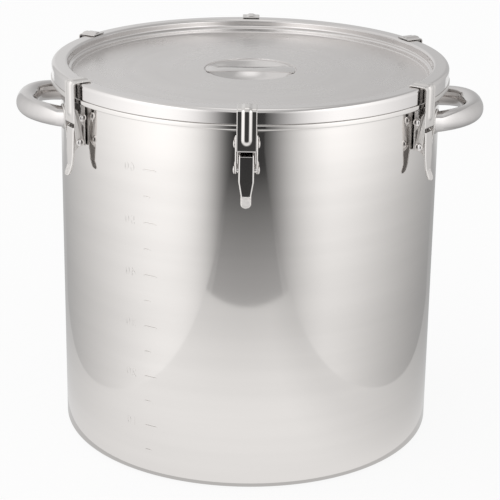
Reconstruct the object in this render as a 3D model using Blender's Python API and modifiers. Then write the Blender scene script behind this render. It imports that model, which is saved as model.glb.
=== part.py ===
"""Stainless brew kettle with a clamped lid: a straight-sided pot, a channelled
lid with a sunk grip, a seal ring, two tube handles and six toggle latches.

Metres, +Z up. The origin is on the pot's axis, in the plane of its base. The
front latch faces -Y and the handles lie on the X axis. The lid is clamped shut.
"""

import math

import bmesh
import bpy
from mathutils import Matrix, Vector

# Gap left between pieces that touch on the real kettle.
GAP = 0.0003

# Longest way through a latch, and the height band that holds all of it: cutters span these.
CUTTER_NEAR = -0.30
CUTTER_FAR = -0.20
AXIS_MERGE = 0.00001
WELD_MERGE = 0.000001
HANDLE_CUTTER_DEPTH = 0.10
CUTTER_REACH = 0.02
CUTTER_FOOT = 0.34
CUTTER_TOP = 0.46

# Pot: a flared neck leads from the wall to the rolled rim
BODY_RADIUS = 0.2262
WALL = 0.0012
BASE_CORNER = 0.0070
ROLL_RADIUS = 0.0030
ROLL_CENTRE = (0.2342, 0.4356)
MOUTH_SETBACK = 0.0018
NECK_OUT = 0.0016
NECK_DROP = 0.0008
NECK_LENGTH = 0.0020
TURN_STEPS = 48
ARC_STEPS = 3
ROLL_STEPS = 9

# Lid: an outer skirt, a raised channel over the rim, a dished panel, a finger cup
LID_SHEET = 0.0010
SKIRT_RADIUS = 0.2360
SKIRT_FOOT = 0.4389
LID_TOP = 0.4560
SHOULDER = 0.0050
CREST_INNER = 0.2165
CREST_ROUND = 0.0035
LEDGE_RADIUS = 0.2138
LEDGE_HEIGHT = 0.4460
LEDGE_ROUND = 0.0008
PANEL_RADIUS = 0.2115
PANEL_EDGE_HEIGHT = 0.4400
PANEL_CENTRE_HEIGHT = 0.4430
PANEL_ROOT = 0.0025
PANEL_STEPS = 3
CUP_RADIUS = 0.0550
CUP_STEP_RADIUS = 0.0508
CUP_STEP_DRAFT = 0.0002
CUP_DEPTH = 0.0240
CUP_FULLNESS = 3.8
CUP_STEPS = 5

# Grip bar across the finger cup
BAR_THICKNESS = 0.0012
BAR_WAIST = 0.0200
BAR_END_WIDTH = 0.0300
BAR_CLEARANCE = 0.0008
BAR_SHOULDER = 0.55
BAR_SHOULDER_GAIN = 0.0018
BAR_END_STEPS = 4

# Seal ring inside the lid's channel
SEAL_INNER = 0.2190
SEAL_OUTER = 0.2336
SEAL_TOP = LID_TOP - LID_SHEET - GAP
SEAL_INNER_CUT = 0.0012
SEAL_OUTER_CUT = 0.0034
SEAL_FOOT = ROLL_CENTRE[1] + ROLL_RADIUS + GAP

# Side handles
HANDLE_TUBE = 0.0122
HANDLE_WALL = 0.0015
HANDLE_ROOT_HEIGHT = 0.3946
HANDLE_RISE = 0.0079
HANDLE_REACH = 0.2676
HANDLE_ROOT = 0.1950
HANDLE_HALF_SPAN = 0.0620
HANDLE_SQUARENESS = 2.6
HANDLE_POINTS = 19

# Latches, in each latch's own frame: out = distance from the pot's axis, up = height
LATCH_AZIMUTHS = {
    "front": -0.7,
    "front_right": 57.0,
    "back_right": 120.0,
    "back": 180.0,
    "back_left": -120.0,
    "front_left": -57.0,
}
PIVOT = (0.2325, 0.4168)
HOOK_PIVOT = (0.2360, 0.3885)
PIN_RADIUS = 0.0020
HOLE_RADIUS = 0.00235
PIN_SIDES = 12
PIN_HEAD_RADIUS = 0.0044
PIN_HEAD_HEIGHT = 0.0020
SHEET = 0.0015
CORNER = 0.0010

# Bracket: a folded plate on the wall, shallow at its foot and deep at the lever's pin
BRACKET_BACK = 0.2267
BRACKET_FOOT = 0.3830
BRACKET_TOP = 0.4310
EAR_INNER = 0.0086
EAR_LUG = 0.0042
EAR_LOW_DEPTH = 0.0032
EAR_LOW_TOP = 0.4060
EAR_TOP_DEPTH = 0.0055

# Lever: a channel with a lug at its pin and an out-bent finger tab
LEVER_HALF_WIDTH = 0.0083
LEVER_LUG = 0.0038
LEVER_FACE = 0.2422
LEVER_FACE_LOW = 0.2440
LEVER_TOP = 0.4050
LEVER_SHOULDER = 0.0045
CHEEK_BACK = 0.2314
CHEEK_FOOT = 0.3875
CHEEK_TAPER = [(0.2350, 0.3825), (0.2410, 0.3765)]
WAIST_TOP = 0.3765
TAB_TOP = 0.3612
TAB_HALF_WIDTH = 0.0063
TAB_BEND = 0.0030
TAB_ROOT = 0.0040
LEVER_TIP = 0.3487
TIP_CORNERS = [(0.0014, 0.0016), (0.0042, 0.0)]

# Hook: a strap with a pressed rib and a claw, and an arm at each side
STRAP_INNER = 0.2408
STRAP_SHEET = 0.0016
STRAP_HALF_WIDTH = 0.0109
STRAP_FOOT = 0.4100
STRAP_BEND = 0.0042
CLAW_UNDERSIDE = 0.4564
CLAW_END = 0.2190
ARM_EYE = 0.0045
ARM_TOP = 0.4290
ARM_BACK = [(0.2380, 0.4255), (0.2362, 0.4200)]
RIB_HALF_WIDTH = 0.0056
RIB_HEIGHT = 0.0014
RIB_FOOT = 0.4165
RIB_OVERLAP = 0.0008
RIB_SETBACK = 0.0050

STEEL = {"color": (0.72, 0.71, 0.70), "metallic": 1.0, "roughness": 0.16}
STEEL_SATIN = {"color": (0.70, 0.69, 0.68), "metallic": 1.0, "roughness": 0.28}
SILICONE = {"color": (0.86, 0.86, 0.83), "metallic": 0.0, "roughness": 0.55}


# ---------------------------------------------------------------- scene helpers


def clear_scene():
    for old in list(bpy.data.objects):
        bpy.data.objects.remove(old, do_unlink=True)


def new_collection(name):
    collection = bpy.data.collections.new(name)
    bpy.context.scene.collection.children.link(collection)
    return collection


def new_material(name, color, metallic, roughness):
    material = bpy.data.materials.new(name)
    material.use_nodes = True
    surface = material.node_tree.nodes["Principled BSDF"]
    surface.inputs["Base Color"].default_value = (*color, 1.0)
    surface.inputs["Metallic"].default_value = metallic
    surface.inputs["Roughness"].default_value = roughness
    return material


def new_object(name, mesh, collection, material=None, parent=None):
    part = bpy.data.objects.new(name, mesh)
    if material and not mesh.materials:
        mesh.materials.append(material)
    part.parent = parent
    collection.objects.link(part)
    return part


def new_empty(name, collection, location=(0, 0, 0), azimuth=0.0, parent=None):
    empty = bpy.data.objects.new(name, None)
    empty.location = location
    empty.rotation_euler.z = math.radians(azimuth)
    empty.empty_display_size = 0.01
    empty.parent = parent
    collection.objects.link(empty)
    return empty


def shade(mesh, degrees=35):
    mesh.shade_smooth()
    mesh.set_sharp_from_angle(angle=math.radians(degrees))


# ---------------------------------------------------------------- shape helpers


def arc(centre, radius, start, end, steps=ARC_STEPS):
    """Points on an arc, both ends included; angles in degrees."""
    angles = [math.radians(start + (end - start) * i / steps) for i in range(steps + 1)]
    return [(centre[0] + radius * math.cos(a), centre[1] + radius * math.sin(a)) for a in angles]


def thickened(line, sheet):
    """A closed outline: the line, then back along it one sheet thickness to its right."""
    far_side = []
    for i, point in enumerate(line):
        before = Vector(line[max(i - 1, 0)])
        after = Vector(line[min(i + 1, len(line) - 1)])
        along_in = (Vector(point) - before) if i else (after - Vector(point))
        along_out = (after - Vector(point)) if i < len(line) - 1 else along_in
        tangent = (along_in.normalized() + along_out.normalized()).normalized()
        stretch = 1.0 / max(tangent.dot(along_in.normalized()), 0.5)
        normal = Vector((tangent.y, -tangent.x))
        far_side.append(tuple(Vector(point) + normal * sheet * stretch))
    return list(line) + far_side[::-1]


def turned(name, outline, collection, material, closed, parent=None, steps=TURN_STEPS):
    """A turned solid. An open outline starts and ends on the axis."""
    count = len(outline)
    edges = [(i, (i + 1) % count) for i in range(count if closed else count - 1)]
    mesh = bpy.data.meshes.new(name)
    mesh.from_pydata([(radius, 0, height) for radius, height in outline], edges, [])
    part = new_object(name, mesh, collection, material, parent)
    screw = part.modifiers.new("Turn", "SCREW")
    screw.axis = "Z"
    screw.steps = steps
    screw.render_steps = steps
    screw.use_merge_vertices = True
    screw.merge_threshold = AXIS_MERGE
    screw.use_smooth_shade = True
    return part


def mesh_of(part):
    """The evaluated mesh of an object that is then removed; caps are welded."""
    bpy.context.view_layer.update()
    graph = bpy.context.evaluated_depsgraph_get()
    mesh = bpy.data.meshes.new_from_object(part.evaluated_get(graph))
    mesh.transform(part.matrix_world)
    bpy.data.objects.remove(part, do_unlink=True)
    weld = bmesh.new()
    weld.from_mesh(mesh)
    bmesh.ops.remove_doubles(weld, verts=weld.verts, dist=WELD_MERGE)
    bmesh.ops.recalc_face_normals(weld, faces=weld.faces)
    weld.to_mesh(mesh)
    weld.free()
    return mesh


def side_solid(outline, low, high, workshop):
    """A solid from an (out, up) outline, extruded along the latch's X from low to high."""
    curve = bpy.data.curves.new("outline", "CURVE")
    curve.dimensions = "2D"
    curve.fill_mode = "BOTH"
    curve.extrude = (high - low) / 2
    spline = curve.splines.new("POLY")
    spline.points.add(len(outline) - 1)
    for point, (out, up) in zip(spline.points, outline):
        point.co = (out, up, 0, 1)
    spline.use_cyclic_u = True
    holder = new_object("outline", curve, workshop)
    holder.matrix_world = Matrix(
        ((0, 0, -1, (low + high) / 2), (-1, 0, 0, 0), (0, 1, 0, 0), (0, 0, 0, 1))
    )
    return new_object("solid", mesh_of(holder), workshop)


def front_solid(outline, workshop, near=CUTTER_NEAR, far=CUTTER_FAR):
    """A solid from an (across, up) outline, extruded through the latch's depth."""
    shape = bmesh.new()
    corners = [shape.verts.new((across, near, up)) for across, up in outline]
    face = shape.faces.new(corners)
    swept = bmesh.ops.extrude_face_region(shape, geom=[face])
    moved = [item for item in swept["geom"] if isinstance(item, bmesh.types.BMVert)]
    bmesh.ops.translate(shape, verts=moved, vec=(0, far - near, 0))
    bmesh.ops.recalc_face_normals(shape, faces=shape.faces)
    mesh = bpy.data.meshes.new("front")
    shape.to_mesh(mesh)
    shape.free()
    return new_object("solid", mesh, workshop)


def pin_solid(centre, radius, low, high, workshop, sides=PIN_SIDES):
    """A round solid along the latch's X, through (out, up) = centre."""
    shape = bmesh.new()
    bmesh.ops.create_cone(
        shape,
        cap_ends=True,
        segments=sides,
        radius1=radius,
        radius2=radius,
        depth=high - low,
    )
    place = Matrix.Translation(((low + high) / 2, -centre[0], centre[1]))
    shape.transform(place @ Matrix.Rotation(math.radians(90), 4, "Y"))
    mesh = bpy.data.meshes.new("pin")
    shape.to_mesh(mesh)
    shape.free()
    return new_object("solid", mesh, workshop)


def carved(base, steps, workshop):
    """The base after a list of (operation, tool) Booleans, as one plain mesh."""
    for operation, tool in steps:
        change = base.modifiers.new(operation, "BOOLEAN")
        change.operation = operation
        change.solver = "EXACT"
        change.object = tool
    mesh = mesh_of(base)
    for _, tool in steps:
        bpy.data.objects.remove(tool, do_unlink=True)
    return mesh


def about(mesh, centre):
    """The mesh with its origin moved to (out, up) = centre."""
    mesh.transform(Matrix.Translation((0, centre[0], -centre[1])))
    return mesh


# ---------------------------------------------------------------- pot


def pot_outline():
    """From the axis over the inside, round the rolled rim and down the outside."""
    inner = BODY_RADIUS - WALL
    base_centre = (BODY_RADIUS - BASE_CORNER, BASE_CORNER)
    flare_foot = ROLL_CENTRE[1] - ROLL_RADIUS
    inside = [(0, WALL)] + arc(base_centre, BASE_CORNER - WALL, -90, 0)
    mouth = [(inner, flare_foot), (inner + MOUTH_SETBACK, ROLL_CENTRE[1] + MOUTH_SETBACK)]
    roll = arc(ROLL_CENTRE, ROLL_RADIUS, 90, -180, steps=ROLL_STEPS)
    under = [(BODY_RADIUS + NECK_OUT, ROLL_CENTRE[1] - NECK_DROP)]
    under += [(BODY_RADIUS, flare_foot - NECK_LENGTH)]
    outside = arc(base_centre, BASE_CORNER, 0, -90)
    return inside + mouth + roll + under + outside + [(0, 0)]


# ---------------------------------------------------------------- lid


def panel_height(radius):
    """The dished panel rises from its edge to its middle as a flat parabola."""
    share = (radius / PANEL_RADIUS) ** 2
    return PANEL_CENTRE_HEIGHT + (PANEL_EDGE_HEIGHT - PANEL_CENTRE_HEIGHT) * share


def bowl_height(radius):
    """The finger cup's floor curves up to the step that carries the bar."""
    edge = panel_height(CUP_RADIUS)
    rise = CUP_DEPTH - BAR_THICKNESS - GAP
    return edge - CUP_DEPTH + rise * (radius / CUP_STEP_RADIUS) ** CUP_FULLNESS


def evenly(start, end, steps):
    return [start + (end - start) * i / steps for i in range(steps + 1)]


def lid_line():
    """The lid's upper face, from the middle of the cup out to the skirt's foot."""
    edge = panel_height(CUP_RADIUS)
    step_height = bowl_height(CUP_STEP_RADIUS)
    bowl = [(r, bowl_height(r)) for r in evenly(0, CUP_STEP_RADIUS, CUP_STEPS)]
    step = [(CUP_RADIUS - CUP_STEP_DRAFT, step_height), (CUP_RADIUS, edge)]
    panel = [(r, panel_height(r)) for r in evenly(CUP_RADIUS, PANEL_RADIUS - PANEL_ROOT, PANEL_STEPS)]
    root = [(PANEL_RADIUS, PANEL_EDGE_HEIGHT + PANEL_ROOT)]
    ledge = [(LEDGE_RADIUS - 2 * LEDGE_ROUND, LEDGE_HEIGHT - LEDGE_ROUND)]
    ledge += [(LEDGE_RADIUS - LEDGE_ROUND, LEDGE_HEIGHT)]
    ledge += [(LEDGE_RADIUS + LEDGE_ROUND, LEDGE_HEIGHT + LEDGE_ROUND)]
    crest_centre = (CREST_INNER + CREST_ROUND, LID_TOP - CREST_ROUND)
    shoulder_centre = (SKIRT_RADIUS - SHOULDER, LID_TOP - SHOULDER)
    crest = arc(crest_centre, CREST_ROUND, 180, 90)
    shoulder = arc(shoulder_centre, SHOULDER, 90, 0)
    return bowl + step + panel[1:] + root + ledge + crest + shoulder + [(SKIRT_RADIUS, SKIRT_FOOT)]


def lid_outline():
    """The underside from the axis out, then the upper face back in: read backwards,
    so that the outer side runs down."""
    closed = thickened(lid_line(), LID_SHEET)
    count = len(closed) // 2
    top = closed[:count]
    under = closed[count:]
    under[-1] = (0.0, under[-1][1])
    return top + under


def seal_outline():
    """The seal ring's section: its top corners are cut back to clear the channel's bends."""
    top = [(SEAL_INNER, SEAL_TOP - SEAL_INNER_CUT), (SEAL_INNER + SEAL_INNER_CUT, SEAL_TOP)]
    top += [(SEAL_OUTER - SEAL_OUTER_CUT, SEAL_TOP), (SEAL_OUTER, SEAL_TOP - SEAL_OUTER_CUT)]
    return top + [(SEAL_OUTER, SEAL_FOOT), (SEAL_INNER, SEAL_FOOT)]


def bar_outline():
    """The grip bar seen from above: round ends that fill the cup, a narrower waist."""
    radius = CUP_RADIUS - BAR_CLEARANCE
    half_angle = math.degrees(math.asin(BAR_END_WIDTH / 2 / radius))
    right = arc((0, 0), radius, -half_angle, half_angle, steps=BAR_END_STEPS)
    left = [(-x, -y) for x, y in right]
    shoulder = (radius * BAR_SHOULDER, BAR_WAIST / 2 + BAR_SHOULDER_GAIN)
    top_waist = [shoulder, (0, BAR_WAIST / 2), (-shoulder[0], shoulder[1])]
    low_waist = [(-x, -y) for x, y in top_waist]
    return right + top_waist + left + low_waist


def make_bar(collection, material, parent):
    top = panel_height(CUP_RADIUS)
    curve = bpy.data.curves.new("lid_grip_bar", "CURVE")
    curve.dimensions = "2D"
    curve.fill_mode = "BOTH"
    curve.extrude = BAR_THICKNESS / 2
    outline = bar_outline()
    spline = curve.splines.new("POLY")
    spline.points.add(len(outline) - 1)
    for point, (x, y) in zip(spline.points, outline):
        point.co = (x, y, 0, 1)
    spline.use_cyclic_u = True
    part = new_object("lid_grip_bar", curve, collection, material, parent)
    part.location.z = top - BAR_THICKNESS / 2
    return part


# ---------------------------------------------------------------- handles


def handle_route(side):
    """A D that tips up a little: a half superellipse whose ends run into the wall."""
    points = []
    for i in range(HANDLE_POINTS):
        turn = math.pi * (i / (HANDLE_POINTS - 1) - 0.5)
        out = abs(math.cos(turn)) ** (2 / HANDLE_SQUARENESS)
        across = math.copysign(abs(math.sin(turn)) ** (2 / HANDLE_SQUARENESS), turn)
        reach = HANDLE_ROOT + (HANDLE_REACH - HANDLE_ROOT) * out
        height = HANDLE_ROOT_HEIGHT + HANDLE_RISE * out
        points.append((side * reach, HANDLE_HALF_SPAN * across, height))
    return points


def make_handle(name, side, collection, workshop, material):
    """A bent tube, open at both ends, cut to the curve of the wall."""
    curve = bpy.data.curves.new(name, "CURVE")
    curve.dimensions = "3D"
    curve.bevel_depth = HANDLE_TUBE
    curve.bevel_resolution = 3
    spline = curve.splines.new("POLY")
    route = handle_route(side)
    spline.points.add(len(route) - 1)
    for point, place in zip(spline.points, route):
        point.co = (*place, 1)
    tube = new_object("tube", mesh_of(new_object("route", curve, workshop)), workshop)
    hollow = tube.modifiers.new("Wall", "SOLIDIFY")
    hollow.thickness = HANDLE_WALL
    hollow.offset = -1
    tube = new_object("tube", mesh_of(tube), workshop)
    wall = bmesh.new()
    bmesh.ops.create_cone(
        wall,
        cap_ends=True,
        segments=TURN_STEPS * 2,
        radius1=BODY_RADIUS + GAP,
        radius2=BODY_RADIUS + GAP,
        depth=HANDLE_CUTTER_DEPTH,
        matrix=Matrix.Translation((0, 0, HANDLE_ROOT_HEIGHT)),
    )
    mesh = bpy.data.meshes.new("wall")
    wall.to_mesh(mesh)
    wall.free()
    shaped = carved(tube, [("DIFFERENCE", new_object("wall", mesh, workshop))], workshop)
    shade(shaped)
    return new_object(name, shaped, collection, material)


# ---------------------------------------------------------------- latches


def through_pin(centre, workshop):
    """A cutter for a pin's hole, right through a latch."""
    return pin_solid(centre, HOLE_RADIUS, -CUTTER_REACH, CUTTER_REACH, workshop)


def ear_outline():
    """One ear from the side: a shallow flange that widens to a lug round the lever's pin."""
    low = [(BRACKET_BACK, BRACKET_FOOT), (BRACKET_BACK + EAR_LOW_DEPTH, BRACKET_FOOT)]
    low += [(BRACKET_BACK + EAR_LOW_DEPTH, EAR_LOW_TOP)]
    lug = arc(PIVOT, EAR_LUG, -25, 75)
    return low + lug + [(BRACKET_BACK + EAR_TOP_DEPTH, BRACKET_TOP), (BRACKET_BACK, BRACKET_TOP)]


def bracket_mesh(workshop):
    outer = EAR_INNER + SHEET
    body = side_solid(ear_outline(), -outer, outer, workshop)
    front = BRACKET_BACK + SHEET
    far = front + CUTTER_REACH
    window = [(front, CUTTER_FOOT), (far, CUTTER_FOOT), (far, CUTTER_TOP), (front, CUTTER_TOP)]
    steps = [
        ("DIFFERENCE", side_solid(window, -EAR_INNER, EAR_INNER, workshop)),
        ("DIFFERENCE", through_pin(PIVOT, workshop)),
    ]
    return carved(body, steps, workshop)


def lever_outline():
    """The lever from the side: lug, cheek, out-bent tab and a face that leans out a little."""
    lug = arc(PIVOT, LEVER_LUG, 60, 215)
    cheek = [(CHEEK_BACK, LEVER_TOP), (CHEEK_BACK, CHEEK_FOOT)] + CHEEK_TAPER
    cheek += [(LEVER_FACE_LOW - SHEET, TAB_TOP)]
    tab_root = TAB_TOP - TAB_ROOT
    tab_back = [(LEVER_FACE_LOW - SHEET + CORNER, tab_root), (LEVER_FACE_LOW + TAB_BEND, LEVER_TIP)]
    tab_face = [(LEVER_FACE_LOW + TAB_BEND + SHEET, LEVER_TIP + CORNER / 2)]
    tab_face += [(LEVER_FACE_LOW + CORNER, tab_root), (LEVER_FACE_LOW, TAB_TOP)]
    face = [(LEVER_FACE, LEVER_TOP - CORNER), (LEVER_FACE - CORNER, LEVER_TOP)]
    shoulder = [(PIVOT[0] + LEVER_LUG, LEVER_TOP + LEVER_SHOULDER)]
    return lug + cheek + tab_back + tab_face + face + shoulder


def lever_mesh(workshop):
    body = side_solid(lever_outline(), -LEVER_HALF_WIDTH, LEVER_HALF_WIDTH, workshop)
    back = BODY_RADIUS
    floor = TAB_TOP + SHEET
    hollow = [(back, CUTTER_TOP), (back, floor), (LEVER_FACE_LOW - SHEET, floor)]
    hollow += [(LEVER_FACE - SHEET, LEVER_TOP), (LEVER_FACE - SHEET, CUTTER_TOP)]
    reach = LEVER_HALF_WIDTH - SHEET
    wide = LEVER_HALF_WIDTH + CORNER
    front = [(wide, CUTTER_TOP), (wide, WAIST_TOP), (TAB_HALF_WIDTH, TAB_TOP)]
    front += [(TAB_HALF_WIDTH, LEVER_TIP + TAB_ROOT)]
    front += [(TAB_HALF_WIDTH - across, LEVER_TIP + up) for across, up in TIP_CORNERS]
    front += [(-across, up) for across, up in front[::-1]]
    steps = [
        ("DIFFERENCE", side_solid(hollow, -reach, reach, workshop)),
        ("INTERSECT", front_solid(front, workshop)),
        ("DIFFERENCE", through_pin(PIVOT, workshop)),
        ("DIFFERENCE", through_pin(HOOK_PIVOT, workshop)),
    ]
    return about(carved(body, steps, workshop), PIVOT)


def hook_outer(grow=0.0):
    """The bend from strap to claw on its outer side; grow moves it out for the rib."""
    face = STRAP_INNER + STRAP_SHEET + grow
    top = CLAW_UNDERSIDE + STRAP_SHEET + grow
    bend = STRAP_BEND + grow
    return arc((face - bend, top - bend), bend, 0, 90), face, top


def strap_outline():
    outer, face, top = hook_outer()
    bend = STRAP_BEND - STRAP_SHEET
    inner = arc((STRAP_INNER - bend, CLAW_UNDERSIDE - bend), bend, 90, 0)
    claw = [(CLAW_END + CORNER, top), (CLAW_END, top - CORNER), (CLAW_END, CLAW_UNDERSIDE)]
    return outer + claw + inner + [(STRAP_INNER, STRAP_FOOT), (face, STRAP_FOOT)]


def rib_outline():
    """The rib stands on the strap and the claw and overlaps into their sheet."""
    _, face, top = hook_outer()
    outer, rib_face, rib_top = hook_outer(RIB_HEIGHT)
    end = [(CLAW_END + RIB_OVERLAP, rib_top), (CLAW_END + RIB_OVERLAP / 4, top - RIB_OVERLAP)]
    inside = [(face - RIB_SETBACK, top - RIB_OVERLAP), (face - RIB_OVERLAP, top - RIB_SETBACK)]
    foot = [(face - RIB_OVERLAP, RIB_FOOT), (rib_face - RIB_OVERLAP / 2, RIB_FOOT + RIB_OVERLAP)]
    return outer + end + inside + foot


def arm_outline():
    """A side arm: an eye round the hook's pin, a wide plate, a point beside the strap."""
    face = STRAP_INNER + STRAP_SHEET
    eye = arc(HOOK_PIVOT, ARM_EYE, -190, 10, steps=7)
    return eye + [(face, LEVER_TOP), (face, ARM_TOP), (face - CORNER, ARM_TOP)] + ARM_BACK


def hook_mesh(workshop):
    body = side_solid(strap_outline(), -STRAP_HALF_WIDTH, STRAP_HALF_WIDTH, workshop)
    steps = [("UNION", side_solid(rib_outline(), -RIB_HALF_WIDTH, RIB_HALF_WIDTH, workshop))]
    for side in (-1, 1):
        low, high = sorted((side * (STRAP_HALF_WIDTH - GAP), side * (STRAP_HALF_WIDTH + SHEET)))
        steps.append(("UNION", side_solid(arm_outline(), low, high, workshop)))
    steps.append(("DIFFERENCE", through_pin(HOOK_PIVOT, workshop)))
    return about(carved(body, steps, workshop), HOOK_PIVOT)


def pin_mesh(name, half_length):
    """A turned pin along the latch's X axis, centred, with a domed head at each end."""
    shape = bmesh.new()
    dome = [(0.0, 1.0), (0.65, 0.8), (1.0, 0.25), (1.0, 0.0)]
    line = [(PIN_HEAD_RADIUS * r, half_length + PIN_HEAD_HEIGHT * h) for r, h in dome]
    line += [(PIN_RADIUS, half_length)]
    line += [(radius, -height) for radius, height in line[::-1]]
    corners = [shape.verts.new((height, radius, 0)) for radius, height in line]
    edges = [shape.edges.new(pair) for pair in zip(corners, corners[1:])]
    bmesh.ops.spin(
        shape,
        geom=corners + edges,
        axis=(1, 0, 0),
        cent=(0, 0, 0),
        angle=math.radians(360),
        steps=PIN_SIDES,
        use_duplicate=False,
    )
    bmesh.ops.remove_doubles(shape, verts=shape.verts, dist=WELD_MERGE)
    bmesh.ops.recalc_face_normals(shape, faces=shape.faces)
    mesh = bpy.data.meshes.new(name)
    shape.to_mesh(mesh)
    shape.free()
    return mesh


def make_latches(collection, workshop, materials):
    arm_outer = STRAP_HALF_WIDTH + SHEET
    meshes = {
        "bracket": bracket_mesh(workshop),
        "lever": lever_mesh(workshop),
        "hook": hook_mesh(workshop),
        "lever_pin": pin_mesh("lever_pin", arm_outer + GAP),
        "hook_pin": pin_mesh("hook_pin", arm_outer + GAP),
    }
    for piece, mesh in meshes.items():
        mesh.materials.append(materials["pin" if piece.endswith("pin") else "latch"])
        shade(mesh)
    for place, azimuth in LATCH_AZIMUTHS.items():
        frame = new_empty(f"latch_{place}_frame", collection, azimuth=azimuth)
        pivot = (0, -PIVOT[0], PIVOT[1])
        hook_offset = (0, PIVOT[0] - HOOK_PIVOT[0], HOOK_PIVOT[1] - PIVOT[1])
        lever_seat = new_empty(f"latch_{place}_seat", collection, pivot, parent=frame)
        lever_axis = new_empty(f"latch_{place}_pivot", collection, pivot, parent=frame)
        hook_axis = new_empty(f"hook_{place}_pivot", collection, hook_offset, parent=lever_axis)
        parents = {
            "bracket": frame,
            "lever": lever_axis,
            "hook": hook_axis,
            "lever_pin": lever_seat,
            "hook_pin": hook_axis,
        }
        for piece, mesh in meshes.items():
            new_object(f"latch_{piece}_{place}", mesh, collection, parent=parents[piece])


# ---------------------------------------------------------------- assembly


def main():
    clear_scene()
    kettle = new_collection("brew_kettle")
    workshop = new_collection("brew_kettle_cutters")
    materials = {
        "body": new_material("polished_steel", **STEEL),
        "lid": new_material("lid_steel", **STEEL_SATIN),
        "latch": new_material("latch_steel", **STEEL),
        "pin": new_material("pin_steel", **STEEL_SATIN),
        "seal": new_material("silicone", **SILICONE),
    }
    turned("pot_body", pot_outline(), kettle, materials["body"], closed=False)
    lid = turned("lid_shell", lid_outline(), kettle, materials["lid"], closed=False)
    turned("lid_seal_ring", seal_outline(), kettle, materials["seal"], closed=True, parent=lid)
    make_bar(kettle, materials["lid"], lid)
    make_handle("handle_left", -1, kettle, workshop, materials["body"])
    make_handle("handle_right", 1, kettle, workshop, materials["body"])
    make_latches(kettle, workshop, materials)


main()
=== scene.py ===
"""Looks of the brew kettle: polished and satin stainless sheet, tube, rivets and silicone
built around the CAD model, in a plain bright studio.

Metres, in the frame of the CAD model: +Z up, the front latch faces -Y. Points of a turned
piece are (radius, height). Points of a latch are in its own frame: across, out from the
pot's axis, and up.
"""

import math
from collections import namedtuple

import bmesh
import bpy
import numpy as np
from mathutils import Matrix, Vector


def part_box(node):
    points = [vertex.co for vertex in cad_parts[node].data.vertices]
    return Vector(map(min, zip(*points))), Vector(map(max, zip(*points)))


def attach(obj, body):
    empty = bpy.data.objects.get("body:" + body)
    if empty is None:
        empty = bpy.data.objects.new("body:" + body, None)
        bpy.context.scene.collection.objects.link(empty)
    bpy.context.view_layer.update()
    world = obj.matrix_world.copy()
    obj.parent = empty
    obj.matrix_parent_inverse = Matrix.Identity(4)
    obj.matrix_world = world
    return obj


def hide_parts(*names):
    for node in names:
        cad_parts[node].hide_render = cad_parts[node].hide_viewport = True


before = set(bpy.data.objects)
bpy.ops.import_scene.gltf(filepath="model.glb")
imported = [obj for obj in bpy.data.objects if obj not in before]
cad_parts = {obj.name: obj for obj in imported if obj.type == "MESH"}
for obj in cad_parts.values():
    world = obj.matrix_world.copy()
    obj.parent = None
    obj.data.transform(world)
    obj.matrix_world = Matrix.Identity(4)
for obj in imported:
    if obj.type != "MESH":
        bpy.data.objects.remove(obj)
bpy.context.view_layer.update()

# ---------------------------------------------------------------- driving sizes

POT_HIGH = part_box("pot_body")[1]
LID_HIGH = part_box("lid_shell")[1]
LID_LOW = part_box("lid_shell")[0]
GAP = 0.0003
TURNS = 256
LONGEST_STEP = 0.012
EDGE_STEP = 0.0006
SAME_POINT = 1e-7
CORNER_SHARE = 0.48  # of a side, the most that one rounded corner takes

# Pot
WALL_RADIUS = 0.2262
WALL = 0.0012
WALL_GUIDE = 0.3  # a height on the straight wall that gives a bend its direction
BASE_CORNER = 0.0070
BASE_LIFT = 0.0005
BASE_LIFT_RADIUS = 0.1850
BASE_LIFT_RUN = 0.004  # from the lifted floor out to the ring the pot stands on
ROLL_RADIUS = 0.0030
ROLL_CENTRE = (POT_HIGH.x - ROLL_RADIUS, POT_HIGH.z - ROLL_RADIUS)
ROLL_FOOT = ROLL_CENTRE[1] - ROLL_RADIUS
ROLL_SQUARENESS = 4.5
MOUTH_FLARE = (0.0030, 0.0026)  # out from the wall's inside and up from the roll's centre
MOUTH_ROUND = 0.004
NECK = (0.0008, 0.0015)  # out from the wall and down from the roll's centre
NECK_DROP = 0.003
NECK_ROUND = 0.003

# Litre scale pressed into the wall; its places round the wall are degrees from the front
SCALE_FOOT = 0.0028
LITRE = 0.006196
LITRES = 60
TICK_EVERY = 5
NUMBER_EVERY = 10
TICK_START = -31.1
LONG_TICK = 0.0165
SHORT_TICK = 0.0085
TICK_HALF_HEIGHT = 0.0005
TICK_RUNOUT = 0.0025
TICK_SINK = GAP / 3
NUMBER_AZIMUTH = -36.0
NUMBER_HEIGHT = 0.0092
NUMBER_SHARE = 0.70  # a figure's height in its font's size
NUMBER_SPACING = 1.25
RELIEF = 0.00026
NUMBER_BEVEL = 0.4 * RELIEF
NUMBER_MERGE = 0.000001
TICK_SHEET = 1.6 * RELIEF

# Lid
LID_SHEET = 0.0010
SKIRT_RADIUS = LID_HIGH.x
LID_TOP = LID_HIGH.z
SKIRT_FOOT = 0.4389
SHOULDER = 0.0050
CREST_INNER = 0.2165
CREST_ROUND = 0.0035
LEDGE_RADIUS = 0.2138
LEDGE_HEIGHT = 0.4460
LEDGE_ROUND = 0.0019
PANEL_RADIUS = 0.2115
PANEL_EDGE = 0.4400
PANEL_CENTRE = 0.4430
LEDGE = [  # from the panel's edge up the inner wall
    (PANEL_RADIUS + 0.0001, PANEL_EDGE),
    (PANEL_RADIUS + 0.0005, LEDGE_HEIGHT - 0.0003),
    (LEDGE_RADIUS + 0.0022, LEDGE_HEIGHT + 0.0006),
    (CREST_INNER, LEDGE_HEIGHT + 0.0022),
]
CUP_RADIUS = 0.0550
CUP_STEP = 0.0508
CUP_FLOOR = LID_LOW.z + LID_SHEET
CUP_FULLNESS = 3.8
CUP_END = CUP_STEP - 0.0006
STEP_LEAN = 0.0001
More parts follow.
